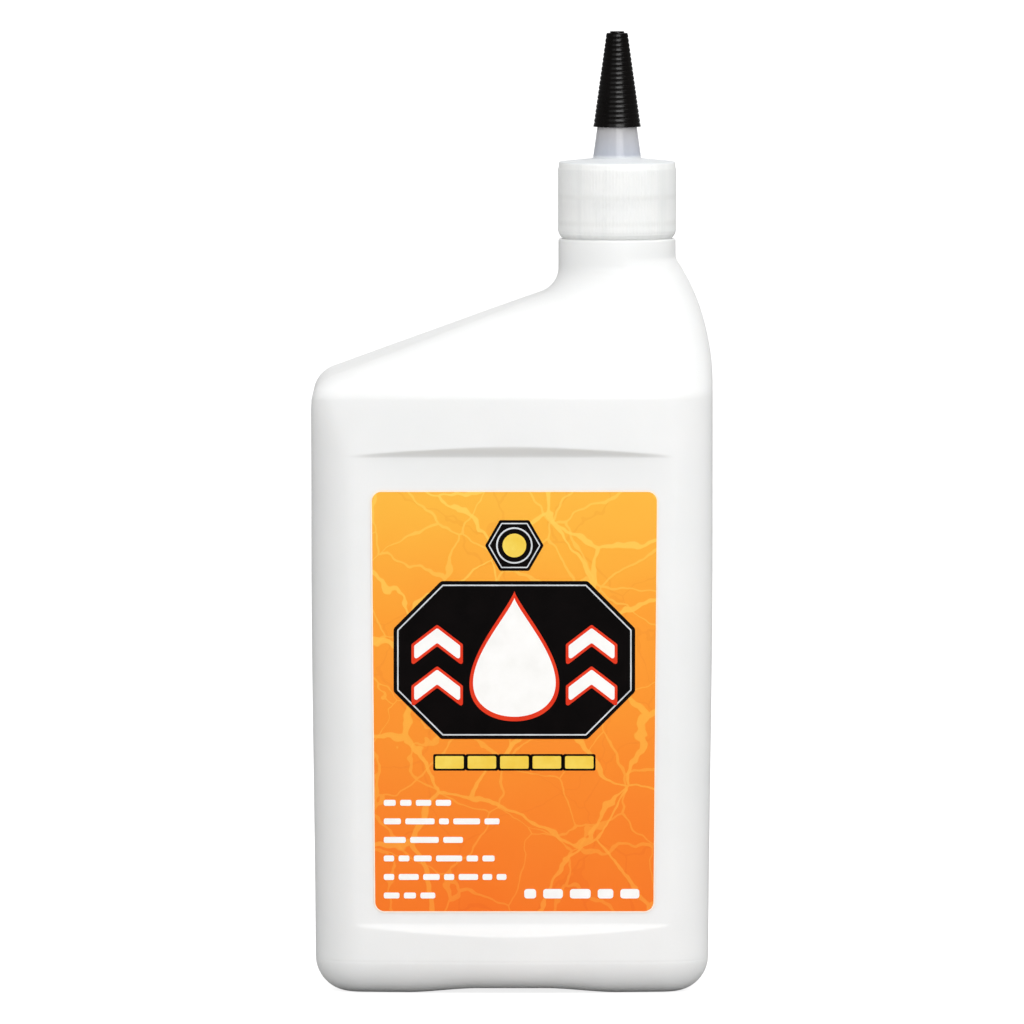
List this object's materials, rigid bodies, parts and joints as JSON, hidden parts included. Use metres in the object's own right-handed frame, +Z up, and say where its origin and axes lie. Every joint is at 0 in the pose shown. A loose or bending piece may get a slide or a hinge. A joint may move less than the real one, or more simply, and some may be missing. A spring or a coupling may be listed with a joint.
{
  "type": "hydraulic oil bottle",
  "caption": "Oblong white blow-moulded bottle of oil with an offset neck, labels in recessed panels, a ribbed screw-on spout cap and a ringed pull-off tip over the spout.",
  "frame": {"origin": "middle of the bottle's base, at the level it stands on", "axes": "+Z up, +X towards the offset neck, +Y to the rear, so the front label faces -Y"},
  "size_m": [0.1016, 0.069, 0.2427],
  "materials": {
    "bottle_plastic": "satin white opaque polyethylene",
    "oil": "clear amber liquid",
    "label_film": "printed satin film, orange",
    "liner_foam": "soft white foam",
    "cap_plastic": "natural milky polyethylene",
    "tip_plastic": "black soft polyethylene"
  },
  "bodies": {
    "bottle": {"bottle": "bottle_plastic", "oil": "oil", "front_label": "label_film", "back_label": "label_film"},
    "liner": {"cap_liner": "liner_foam"},
    "spout_cap": {"spout_cap": "cap_plastic"},
    "tip_cap": {"tip_cap": "tip_plastic"}
  },
  "joints": [
    {"name": "cap_rise", "type": "slide", "parent": "bottle", "child": "liner", "axis": [0, 0, 1], "range_m": [0, 0.0085]},
    {"name": "cap_turn", "type": "hinge", "parent": "liner", "child": "spout_cap", "pos_m": [0.0267, 0, 0.2], "axis": [0, 0, 1], "range_deg": [0, 720]},
    {"name": "tip_pull", "type": "slide", "parent": "spout_cap", "child": "tip_cap", "axis": [0, 0, 1], "range_m": [0, 0.024]}
  ],
  "couplings": [
    {"joint": "cap_rise", "follows": "cap_turn", "m_per_rad": 0.00067375}
  ]
}
